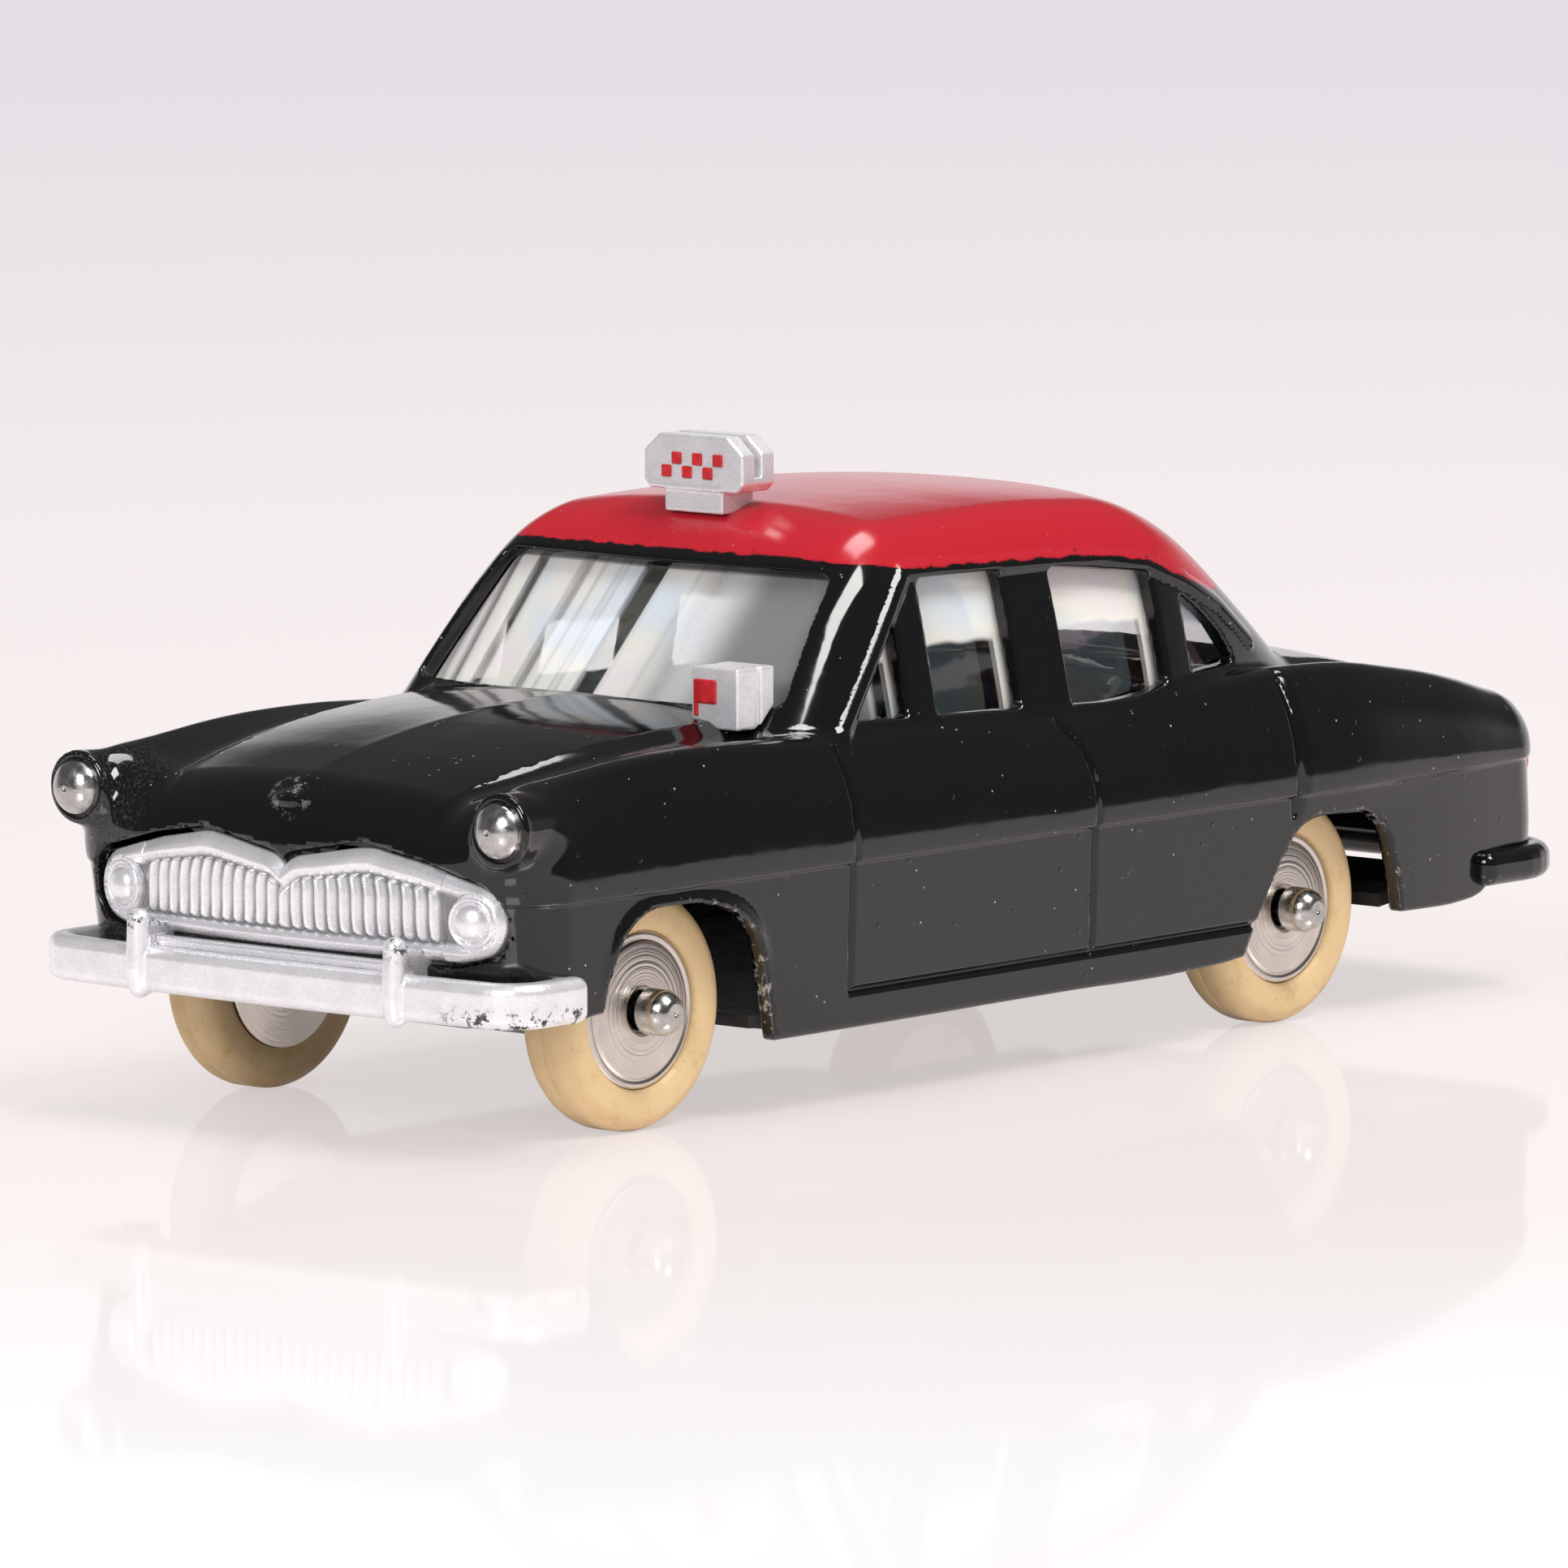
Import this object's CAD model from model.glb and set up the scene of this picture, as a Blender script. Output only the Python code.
"""Looks of a die-cast toy taxi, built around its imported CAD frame.

Shapes are worked out in millimetres and written in metres. The front of the car is at -Y,
its left side at +X, and the tyres stand on Z = 0.
"""
import math
from functools import reduce

import bpy
import numpy as np
from mathutils import Matrix, Vector


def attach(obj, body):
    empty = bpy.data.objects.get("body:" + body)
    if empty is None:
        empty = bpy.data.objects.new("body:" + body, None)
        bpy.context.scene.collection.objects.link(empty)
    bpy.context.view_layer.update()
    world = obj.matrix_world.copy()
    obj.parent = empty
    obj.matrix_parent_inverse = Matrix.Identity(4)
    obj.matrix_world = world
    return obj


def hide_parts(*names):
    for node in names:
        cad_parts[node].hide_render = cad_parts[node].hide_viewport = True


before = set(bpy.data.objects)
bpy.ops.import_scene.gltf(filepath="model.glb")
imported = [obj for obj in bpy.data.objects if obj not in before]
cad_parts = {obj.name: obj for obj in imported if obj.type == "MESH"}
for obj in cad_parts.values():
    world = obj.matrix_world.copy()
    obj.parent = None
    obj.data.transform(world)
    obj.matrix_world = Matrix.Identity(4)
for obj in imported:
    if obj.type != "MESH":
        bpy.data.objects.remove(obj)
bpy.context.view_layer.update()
MM = 0.001

# Curves along the car, close to those of the solids: each knot is (y, value)

# How far the plan outline lies inside the greatest width
PLAN_INSET = [(-53, 0.4), (-46, 0.25), (-38, 0.1), (-25, 0), (20, 0), (32, 0.1), (42, 0.6), (54, 1.7)]
# Height of the ridge along the wings and of the belt line on the doors
RIDGE = [(-53, 21.8), (-47, 22.6), (-38, 23.4), (-30, 23.5), (-20, 23), (-5, 22.6), (2, 22.2), (8, 22.2),
         (14, 23), (22, 23.4), (30, 23.2), (36, 22.4), (44, 21), (49, 19.9), (54, 18.8)]
# Height of the bonnet and the boot lid on the centre line
CROWN = [(-53, 20.9), (-48, 22.1), (-43, 23.2), (-36, 24.2), (-28, 24.7), (-22, 24.8), (0, 24.4), (28, 24),
         (33, 23.6), (38, 22.8), (44, 21.2), (49, 19.7), (54, 18.2)]
# Half width of the raised panel of the bonnet and the boot lid
PANEL_W = [(-53, 10.5), (-25, 12.5), (28, 12.5), (54, 11)]
# Height of the body's lower edge above the sill's
LOWER_RISE = [(-53, 3), (-46, 3), (-42, 3), (-40, 0.4), (-38, 0), (0, 0), (15, 0.1), (30, 1.6), (43, 1.7),
              (47, 3.6), (54, 3.8)]
# How far the roof's centre line lies below its top
ROOF_DROP = [(-20, 4.6), (-17, 2.4), (-14.5, 0.8), (-12, 0.3), (-8, 0.12), (-2, 0), (4, 0), (10, 0.3),
             (15, 0.8), (19, 1.7), (22, 3.3), (25, 5.3), (30, 9)]
# Places along the car where the curves are sampled
LONG = np.linspace(-60, 60, 2401)

# Sections of the lower body, and its bowed front and rear faces
HALF_WIDTH, SILL_Z, CREASE_Z, FULL_Z = 20, 4.9, 15.3, 15.8
PANEL_STEP, CREASE_H, PANEL_LEAN, TUCK, SHOULDER_IN = 0.4, 0.3, 0.035, 0.1, 2.6
SHOULDER_POWER, TUCK_DEPTH = 2.4, 4
PANEL_DROP, PANEL_SLOPE, WING_SLOPE, BONNET_FILLET = 0.8, 0.55, 0.3, 1
RIDGE_SLOPE, RIDGE_FADE = 0.07, 3.5
NOSE_Y, TAIL_Y, NOSE_BOW, TAIL_BOW, NOSE_LEAN, TAIL_LEAN = -51.5, 52.9, 0.0035, 0.004, 0.12, 0.1
NOSE_FROM, TAIL_FROM, END_SPAN = -36, 38, 14
NOSE_R, RIDGE_R, GRILLE_TOP, TAIL_FOOT = 3.5, 0.9, 17.5, 11
REAR_DOOR_Y, REAR_BULGE, ARCH_LIP, ARCH_LIP_W = 22.9, 0.26, 0.22, 1.5
WALL = 1.2

# Cabin
BELT_Z, CABIN_HALF, CABIN_LEAN, CABIN_CURVE, REAR_TAPER, TAPER_FROM = 22.8, 17.4, 0.2, 0.004, 0.009, 10
SCREEN_Y, SCREEN_Z, SCREEN_RAKE, SCREEN_BOW, SCREEN_EASE = -24.5, 24.4, 1, 0.0092, 0.0008
BACK_Y, BACK_RAKE, BACK_BOW = 33, 1.29, 0.014
ROOF_Z, ROOF_CURVE, ROOF_FALL, ROOF_R, PILLAR_R = 35.85, 0.0025, 0.000015, 2.6, 2.8
CABIN_FLOOR = 17

# Glazing inside the cabin
CABIN_Y, CABIN_REACH, EAVES_Z, GLASS_FOOT = 3, 24, 31, 21.8
GLASS_GAP, GLASS = 0.1, 0.7

# Lines and outlines on the sides, in (y, z). The arches are taken from their axle.
RAIL = [(-19.4, 22.6), (-10.6, 32.2), (-3.3, 31.9), (3.4, 31.7), (8.3, 31.5), (12.6, 30.8), (16.4, 29.4),
        (20.2, 27.6), (23.5, 25)]
DOOR_LINES = [[(-20.7, 7.2), (-20.7, 22.2)], [(2.7, 7.2), (2.7, 18), (2.2, 20.4), (1, 21.8)],
              [(REAR_DOOR_Y, 14), (REAR_DOOR_Y, 22.4)], [(-20.7, 7.2), (19.4, 7.3)]]
GROOVE_DEPTH, GROOVE_HALF, RAIL_H, RAIL_HALF = 0.3, 0.32, 0.35, 0.75
SIDE_WINDOWS = [[(-17.4, 23.5), (-12.5, 23.3), (-12.5, 29.4)],
                [(-9.8, 23.2), (-1.6, 22.9), (-1.6, 31.5), (-9.6, 31.6)],
                [(3.2, 22.7), (8.8, 22.5), (13, 23.2), (12.9, 30.2), (3.1, 31.3)],
                [(15.8, 23.6), (21, 23.8), (20.2, 25.2), (18.6, 26.9), (15.8, 28.6)]]
FRONT_AXLE_Y, REAR_AXLE_Y, AXLE_Z = -37, 25.6, 7.5
FRONT_ARCH = [(-6.2, -14), (10.6, -14), (9, 1), (7.6, 4.5), (4, 6.7), (-3.6, 6.7), (-6.2, 3.1)]
REAR_ARCH = [(-12, -12), (10.2, -12), (8.6, 2.3), (6.2, 6), (-1.8, 6.2), (-5.2, 2.5), (-8.2, -2.9)]
ARCH_R, SIDE_WINDOW_R, WINDOW_R, WINDOW_CUT = 1.6, 0.5, 0.9, 4.5

# Front and rear windows: half widths, heights along the slope and bows, each at the foot and at the top
SCREEN_OPENING = ((15.1, 13.4), (0.2, 11.5), (1.5, 0.4))
BACK_OPENING = ((12.6, 11), (1.6, 9.4), (1, 0.8))

# Front of the car
GRILLE_Y, BOW_R, LAMP_X, LAMP_Z, HUMP_X = -51.55, 83, 14.4, 14, 6.6
GRILLE_CIRCLES = [(LAMP_X, LAMP_Z, 2.3), (HUMP_X, LAMP_Z - 0.6, 4.6), (1.6, LAMP_Z + 1.1, 2.1),
                  (-2.5, LAMP_Z - 1, 1)]
GRILLE_FOOT = LAMP_Z - 2.5
GRILLE_GROOVE, GROOVE_FLOOR = 0.35, 0.9
HEADLAMP, HEADLAMP_R, HEADLAMP_RIM = (17.45, -50.8, 19.9), 2.3, 0.3
POD_LENGTH, POD_TURN, POD_TAPER, POD_FILLET, CABIN_FILLET = 8, 0.7, 0.4, 1.1, 0.9
BOSS_Y, BOSS_Z, BOSS_W, BOSS_H = -50, 20.4, 1.7, 0.6
BUMPER_Z, BUMPER_H, REAR_BUMPER_H, BUMPER_T = 9.4, 2.8, 2.3, 1.8


# Shape helpers

def curve_table(knots):
    """Smooth curve through knots, sampled along the car."""
    k, v = np.array(knots, float).T
    order = np.arange(len(k))
    before, after = np.maximum(order - 1, 0), np.minimum(order + 1, len(k) - 1)
    slope = (v[after] - v[before]) / (k[after] - k[before])
    i = np.clip(np.searchsorted(k, LONG, side="right") - 1, 0, len(k) - 2)
    h = k[i + 1] - k[i]
    t = np.clip((LONG - k[i]) / h, 0, 1)
    return ((1 + 2 * t) * (1 - t) ** 2 * v[i] + t * (1 - t) ** 2 * h * slope[i]
            + t * t * (3 - 2 * t) * v[i + 1] + t * t * (t - 1) * h * slope[i + 1])


TABLES = {name: curve_table(knots) for name, knots in (
    ("inset", PLAN_INSET), ("ridge", RIDGE), ("crown", CROWN), ("panel", PANEL_W),
    ("rise", LOWER_RISE), ("drop", ROOF_DROP))}


def along(name, y):
    """Value of one of the curves at places along the car."""
    return np.interp(y, LONG, TABLES[name])


def ease(t):
    """Smooth step from 0 to 1."""
    c = np.clip(t, 0, 1)
    return c * c * (3 - 2 * c)


def meet(r, *parts):
    """Intersection of distances, with edges rounded to radius r."""
    spread = np.sqrt(sum(np.maximum(p + r, 0) ** 2 for p in parts))
    return np.minimum(-r, reduce(np.maximum, parts)) + spread


def join(a, b, r):
    """Union of two distances, with a fillet of about r in the corner."""
    h = np.clip(0.5 + 0.5 * (b - a) / r, 0, 1)
    return b + (a - b) * h - r * h * (1 - h)


def convex(points, r, u, v):
    """Distance from a convex outline with rounded corners."""
    p = np.array(points, float)
    if np.sum(p[:, 0] * np.roll(p[:, 1], -1) - np.roll(p[:, 0], -1) * p[:, 1]) < 0:
        p = p[::-1]
    planes = []
    for a, b in zip(p, np.roll(p, -1, axis=0)):
        n = np.array([b[1] - a[1], a[0] - b[0]]) / np.hypot(*(b - a))
        planes.append((u - a[0]) * n[0] + (v - a[1]) * n[1])
    return meet(r, *planes)


def hull(circles, u, v, count=72):
    """Distance from the convex hull of circles (u, v, radius)."""
    best = np.full(np.shape(u), -1e9)
    for a in np.linspace(0, 2 * math.pi, count, endpoint=False):
        c, s = math.cos(a), math.sin(a)
        reach = max(cu * c + cv * s + r for cu, cv, r in circles)
        best = np.maximum(best, u * c + v * s - reach)
    return best


def path_distance(points, u, v):
    """Distance from an open line through points."""
    best = np.full(np.shape(u), 1e9)
    for (ua, va), (ub, vb) in zip(points, points[1:]):
        du, dv = ub - ua, vb - va
        t = np.clip(((u - ua) * du + (v - va) * dv) / (du * du + dv * dv), 0, 1)
        best = np.minimum(best, np.hypot(u - ua - t * du, v - va - t * dv))
    return best


def bead(distance, half):
    """Rounded ridge of height 1 along a line."""
    return np.clip(1 - (distance / half) ** 2, 0, 1) ** 1.5


def capsule(a, b, ra, rb, x, y, z):
    """Distance from a round bar that tapers from a to b."""
    d = np.subtract(b, a)
    t = np.clip(((x - a[0]) * d[0] + (y - a[1]) * d[1] + (z - a[2]) * d[2]) / (d @ d), 0, 1)
    gap = np.sqrt((x - a[0] - t * d[0]) ** 2 + (y - a[1] - t * d[1]) ** 2 + (z - a[2] - t * d[2]) ** 2)
    return gap - ra - (rb - ra) * t


def block(centre, half, r, x, y, z):
    """Distance from a box with rounded edges."""
    return meet(r, *(np.abs(c - m) - h for c, m, h in zip((x, y, z), centre, half)))


# Body of the car

def face_shift(a, y, z):
    """How far along y the bowed front face is set back from its station, or the rear face forward."""
    front = (NOSE_BOW * a * a + NOSE_LEAN * np.maximum(GRILLE_TOP - z, 0)) * ease((NOSE_FROM - y) / END_SPAN)
    rear = (TAIL_BOW * a * a + TAIL_LEAN * np.maximum(z - TAIL_FOOT, 0)) * ease((y - TAIL_FROM) / END_SPAN)
    return front - rear


def side_width(w, ridge, z):
    """Half width of the side at a height: a barrel above the crease and a flat panel under it."""
    above = np.clip((z - FULL_Z) / (ridge - FULL_Z), 0, 2)
    below = np.minimum(FULL_Z - z, TUCK_DEPTH) / (FULL_Z - CREASE_Z)
    barrel = w - np.where(z < FULL_Z, TUCK * below ** 2, SHOULDER_IN * above ** SHOULDER_POWER)
    panel = w - PANEL_STEP - PANEL_LEAN * np.maximum(CREASE_Z - z, 0)
    return panel + (barrel - panel) * ease((z - CREASE_Z + CREASE_H) / CREASE_H)


def wing_bulge(y, z):
    """Extra width of the rear wing behind the door, and of the front wing's lip over its arch."""
    rear = REAR_BULGE * ease((y - REAR_DOOR_Y) / 0.9) * ease((40 - y) / 12) * ease((z - 13) / 2.5)
    arch = convex(FRONT_ARCH, ARCH_R, y - FRONT_AXLE_Y, z - AXLE_Z)
    return rear + ARCH_LIP * ease(1 - np.abs(arch) / ARCH_LIP_W) * ease((z - 9) / 3)


def lower_distance(x, y, z):
    """Distance from the lower body, without its floor and its openings."""
    a = np.abs(x)
    s = y
    for _ in range(3):
        s = y - face_shift(a, s, z)
    w = HALF_WIDTH - along("inset", s)
    ridge, crown, pw = along("ridge", s), along("crown", s), along("panel", s)
    fall = np.where(a < pw, PANEL_DROP * (a / pw) ** 2, PANEL_DROP + PANEL_SLOPE * (a - pw))
    panel = crown - fall - RIDGE_SLOPE * a * np.exp(-a / RIDGE_FADE)
    wing = ridge - WING_SLOPE * (w - SHOULDER_IN - a)
    top = -join(-panel, -wing, BONNET_FILLET)
    side = np.minimum(side_width(w, ridge, z) + wing_bulge(y, z), HALF_WIDTH + REAR_BULGE)
    ends = np.maximum(NOSE_Y - s, s - TAIL_Y)
    return meet(NOSE_R, meet(RIDGE_R, a - side, z - top), ends)


def cabin_distance(x, y, z):
    """Distance from the cabin, without its openings."""
    a, h = np.abs(x), z - BELT_Z
    taper = REAR_TAPER * np.maximum(y - TAPER_FROM, 0) ** 2
    side = a - CABIN_HALF + CABIN_LEAN * h + CABIN_CURVE * h * np.abs(h) + taper
    bow = SCREEN_BOW - SCREEN_EASE * np.maximum(h, 0)
    front = (SCREEN_Y + SCREEN_RAKE * (z - SCREEN_Z) + bow * a * a - y) / math.hypot(1, SCREEN_RAKE)
    back = (y - BACK_Y + BACK_RAKE * h + BACK_BOW * a * a) / math.hypot(1, BACK_RAKE)
    top = z - ROOF_Z + along("drop", y) + ROOF_CURVE * a ** 2 + ROOF_FALL * a ** 4
    return meet(ROOF_R, meet(PILLAR_R, side, np.maximum(front, back)), top)


def headlamp_pod(x, y, z):
    """Headlamp housing that runs back into the wing, with a rounded rim round the lens."""
    hx, hy, hz = HEADLAMP
    a = np.abs(x)
    rear = (hx - POD_TURN, hy + POD_LENGTH, hz)
    pod = capsule(HEADLAMP, rear, HEADLAMP_R, HEADLAMP_R - POD_TAPER, a, y, z)
    radius = np.hypot(a - hx, z - hz)
    rim = np.hypot(radius - HEADLAMP_R + HEADLAMP_RIM, y - hy) - HEADLAMP_RIM
    return np.minimum(meet(0.25, pod, hy - y), rim)


def grille_edge(x, z):
    """Distance from the grille's outline, seen from the front."""
    return meet(0.6, hull(GRILLE_CIRCLES, np.abs(x), z), GRILLE_FOOT - z)


def bow_depth(x, y):
    """Depth behind the bowed front of the grille."""
    return BOW_R - np.hypot(x, y - GRILLE_Y - BOW_R)


def raked_window(x, y, z, foot, rake, widths, heights, bows):
    """Opening of a raked window, bowed like its glass."""
    slope = math.atan(rake)
    up = (y - foot[0]) * math.sin(slope) + (z - foot[1]) * math.cos(slope)
    deep = (y - foot[0]) * math.cos(slope) - (z - foot[1]) * math.sin(slope)
    (w0, w1), (h0, h1), (b0, b1) = widths, heights, bows
    low = h0 + b0 * (x / w0) ** 2 - up
    high = up - h1 - b1 * (x / w1) ** 2
    rise = h1 + b1 - h0 - b0
    edge = (np.abs(x) - w0 + (w0 - w1) * (up - h0 - b0) / rise) / math.hypot(1, (w0 - w1) / rise)
    return np.maximum(meet(WINDOW_R, low, high, edge), np.abs(deep) - WINDOW_CUT)


def openings(x, y, z):
    """Windows and wheel arches."""
    cuts = [convex(p, SIDE_WINDOW_R, y, z) for p in SIDE_WINDOWS]
    cuts.append(raked_window(x, y, z, (SCREEN_Y, SCREEN_Z), SCREEN_RAKE, *SCREEN_OPENING))
    cuts.append(raked_window(x, y, z, (BACK_Y, BELT_Z), -BACK_RAKE, *BACK_OPENING))
    cuts.append(convex(FRONT_ARCH, ARCH_R, y - FRONT_AXLE_Y, z - AXLE_Z))
    cuts.append(convex(REAR_ARCH, ARCH_R, y - REAR_AXLE_Y, z - AXLE_Z))
    return reduce(np.minimum, cuts)


def body_field(x, y, z):
    """The hollow painted casting, without its grille and bumpers."""
    lower = lower_distance(x, y, z)
    cabin = np.maximum(cabin_distance(x, y, z), CABIN_FLOOR - z)
    inside = np.minimum(lower, cabin) + WALL
    grooves = reduce(np.minimum, [path_distance(p, y, z) for p in DOOR_LINES])
    skin = lower + GROOVE_DEPTH * bead(grooves, GROOVE_HALF)
    skin = join(skin, headlamp_pod(x, y, z), POD_FILLET)
    rails = cabin - RAIL_H * bead(path_distance(RAIL, y, z), RAIL_HALF)
    skin = join(skin, rails, CABIN_FILLET)
    boss = np.sqrt((x / BOSS_W) ** 2 + (y - BOSS_Y) ** 2 + ((z - BOSS_Z) / BOSS_H) ** 2) - 1
    skin = join(skin, 0.6 * boss, 0.3)
    recess = meet(0.15, grille_edge(x, z) - GRILLE_GROOVE, bow_depth(x, y) - GROOVE_FLOOR)
    skin = meet(0.12, skin, -recess)
    skin = meet(0.3, skin, SILL_Z + along("rise", y) - z)
    return meet(0.28, meet(0.2, skin, -inside), -openings(x, y, z))


# Meshing

def graded(lo, hi, step, fine, spans):
    """Grid lines from lo to hi, closer together inside the spans."""
    lines = [lo]
    while lines[-1] < hi:
        near = any(a <= lines[-1] <= b for a, b in spans)
        lines.append(lines[-1] + (fine if near else step))
    return np.array(lines)


def gradient(field, p, e):
    """Slope of a field at points."""
    g = np.empty_like(p)
    for k, shift in enumerate(np.eye(3) * e):
        g[:, k] = (field(*(p + shift).T) - field(*(p - shift).T)) / (2 * e)
    return g


def surface(field, xs, ys, zs):
    """Quads on the surface where a field is zero, one point in each grid cell that it passes through."""
    axes = (xs, ys, zs)
    d = field(*(g.ravel() for g in np.meshgrid(*axes, indexing="ij"))).reshape([len(a) for a in axes])
    cells = [len(a) - 1 for a in axes]
    weight, total, quads = np.zeros(np.prod(cells)), np.zeros((3, np.prod(cells))), []
    for axis in range(3):
        u, v = (axis + 1) % 3, (axis + 2) % 3
        here, there = np.moveaxis(d, axis, 0)[:-1], np.moveaxis(d, axis, 0)[1:]
        start = np.argwhere(np.moveaxis((here < 0) != (there < 0), 0, axis))
        ok = (start[:, u] > 0) & (start[:, u] < cells[u]) & (start[:, v] > 0) & (start[:, v] < cells[v])
        stop = start + np.eye(3, dtype=int)[axis]
        a, b = d[tuple(start.T)], d[tuple(stop.T)]
        p = np.stack([axes[k][start[:, k]] for k in range(3)])
        p[axis] += a / (a - b) * (axes[axis][stop[:, axis]] - p[axis])
        around = []
        for du, dv in ((-1, -1), (0, -1), (0, 0), (-1, 0)):
            cell = start.copy()
            cell[:, u] += du
            cell[:, v] += dv
            real = ((cell >= 0) & (cell < cells)).all(1)
            index = np.ravel_multi_index(np.clip(cell, 0, np.array(cells) - 1).T, cells)
            weight += np.bincount(index[real], minlength=len(weight))
            for k in range(3):
                total[k] += np.bincount(index[real], p[k][real], minlength=len(weight))
            around.append(index)
        quad = np.stack(around, 1)[ok]
        quads.append(np.where((a[ok] < 0)[:, None], quad, quad[:, ::-1]))
    used = np.flatnonzero(weight)
    number = np.zeros(len(weight), int)
    number[used] = np.arange(len(used))
    return (total[:, used] / weight[used]).T, number[np.concatenate(quads)]


def settled(field, points, quads, centre_step=0):
    """Points moved onto the surface, and its normals there. A half piece is mirrored at x = 0."""
    p = points.copy()
    middle = np.abs(p[:, 0]) < centre_step / 2 if centre_step else np.zeros(len(p), bool)
    for _ in range(3):
        p[middle, 0] = 0
        g = gradient(field, p, 0.03)
        step = field(*p.T) / np.maximum((g * g).sum(1), 0.3)
        p -= np.clip(step, -0.25, 0.25)[:, None] * g
    p[middle, 0] = 0
    n = gradient(field, p, 0.05)
    n[middle, 0] = 0
    n /= np.maximum(np.linalg.norm(n, axis=1), 1e-9)[:, None]
    if not centre_step:
        return p, quads, n
    other = np.arange(len(p))
    other[~middle] = len(p) + np.arange((~middle).sum())
    flip = np.array([-1, 1, 1])
    return (np.concatenate([p, p[~middle] * flip]), np.concatenate([quads, other[quads][:, ::-1]]),
            np.concatenate([n, n[~middle] * flip]))


def mesh_object(name, points, faces, normals=None):
    """Object made of points in millimetres and faces of one size."""
    mesh = bpy.data.meshes.new(name)
    mesh.vertices.add(len(points))
    mesh.vertices.foreach_set("co", (points * MM).astype(np.float32).ravel())
    mesh.loops.add(faces.size)
    mesh.loops.foreach_set("vertex_index", faces.astype(np.int32).ravel())
    mesh.polygons.add(len(faces))
    mesh.polygons.foreach_set("loop_start", np.arange(0, faces.size, faces.shape[1], dtype=np.int32))
    mesh.update(calc_edges=True)
    if normals is not None:
        mesh.normals_split_custom_set_from_vertices(normals.astype(np.float32).tolist())
    made = bpy.data.objects.new(name, mesh)
    bpy.context.scene.collection.objects.link(made)
    return made


def symmetric(name, field, step, ys, zs, width):
    """Piece that is the same on both sides of the car."""
    xs = np.arange(-step / 2, width + step, step)
    return mesh_object(name, *settled(field, *surface(field, xs, ys, zs), step))


def single(name, field, lo, hi, step):
    """Piece inside a box, from a field on an even grid."""
    lines = [np.arange(a, b + step, step) for a, b in zip(lo, hi)]
    return mesh_object(name, *settled(field, *surface(field, *lines)))


def turned(name, profile, centre, axis, count=96):
    """Piece turned about an axis. The profile is a closed line of (distance along the axis, radius)."""
    along_axis = Vector(axis).normalized()
    across = Vector((0, 0, 1))
    third = along_axis.cross(across)
    q = np.array(profile, float)
    angle = np.linspace(0, 2 * math.pi, count, endpoint=False)
    ring = np.outer(np.cos(angle), across) + np.outer(np.sin(angle), third)
    points = (np.array(centre) + q[:, None, :1] * np.array(along_axis) + q[:, None, 1:] * ring[None])
    i, j = np.meshgrid(np.arange(len(q)), np.arange(count), indexing="ij")
    i2, j2 = (i + 1) % len(q), (j + 1) % count
    faces = np.stack([i * count + j, i2 * count + j, i2 * count + j2, i * count + j2], -1).reshape(-1, 4)
    return mesh_object(name, points.reshape(-1, 3), faces)


# Trim of the casting: grille, bumpers and lamps

RIB_PITCH, RIB_END, RIB_DEPTH = 0.967, 12.4, 0.5
GRILLE_LAMP_R, LAMP_RING_R, LENS_R = 1.8, 1.45, 1.25
OVERRIDER_X, BRACKET_X = 10.6, 7.5
TAIL_LAMP = (14.5, 51.7, 14.5)


def grille_field(x, y, z):
    """Silver grille: a broad rim, curved ribs and a round lamp at each end."""
    a = np.abs(x)
    edge = grille_edge(a, z)
    # The ribs lean in at the top and out at the foot
    below = LAMP_Z + 3 - z
    swept = a + 0.45 * ease((2 - below) / 2.5) - 0.25 * ease((below - 3) / 3)
    ribs = (0.5 + 0.5 * np.cos(2 * math.pi * swept / RIB_PITCH)) ** 0.85
    band = 0.95 + 0.45 * ease((z - LAMP_Z - 1) / 2)
    ribs = ribs * ease((-edge - band) / 0.5) * ease((RIB_END - a) / 0.6)
    rim = ease(1 - np.abs(edge + 0.6 * band) / (0.8 * band))
    radius = np.hypot(a - LAMP_X, z - LAMP_Z)
    ring = RIB_DEPTH * bead(radius - LAMP_RING_R, 0.34)
    dome = 0.16 + 0.9 * np.sqrt(np.clip(1 - (radius / LENS_R) ** 2, 0, 1))
    round_lamp = np.maximum(ring, np.where(radius < LENS_R, dome, 0))
    trim = np.where(radius < GRILLE_LAMP_R, np.maximum(RIB_DEPTH / 2 * rim, round_lamp),
                    RIB_DEPTH * np.maximum(rim, ribs))
    front = RIB_DEPTH - trim + 0.03 * (z - LAMP_Z - 0.6) ** 2 * (a < RIB_END)
    depth = bow_depth(x, y)
    return 0.8 * meet(0.08, front - depth, depth - 2.2, edge)


def bumper_path(half, front, tip, r, bow):
    """Plan line of half a bumper, from the middle round the corner to its tip."""
    x1 = half - r
    y1 = front + bow * x1 * x1 + r
    line = [(x, front + bow * x * x) for x in np.linspace(-2, x1, 14)]
    line += [(x1 + r * math.cos(t), y1 + r * math.sin(t)) for t in np.linspace(-1.4, 0, 8)]
    return line + [(half, tip)]


FRONT_BUMPER = bumper_path(half=19.4, front=-52.4, tip=-46.6, r=2.4, bow=0.0022)
REAR_BUMPER = bumper_path(half=18.7, front=-52.76, tip=-44, r=4.4, bow=0.003)


def bar(path, z_mid, height, r, x, y, z):
    """Bar with a rounded section along a plan line."""
    off = path_distance(path, np.abs(x), y)
    return meet(r, off - BUMPER_T / 2, np.abs(z - z_mid) - height / 2)


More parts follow.
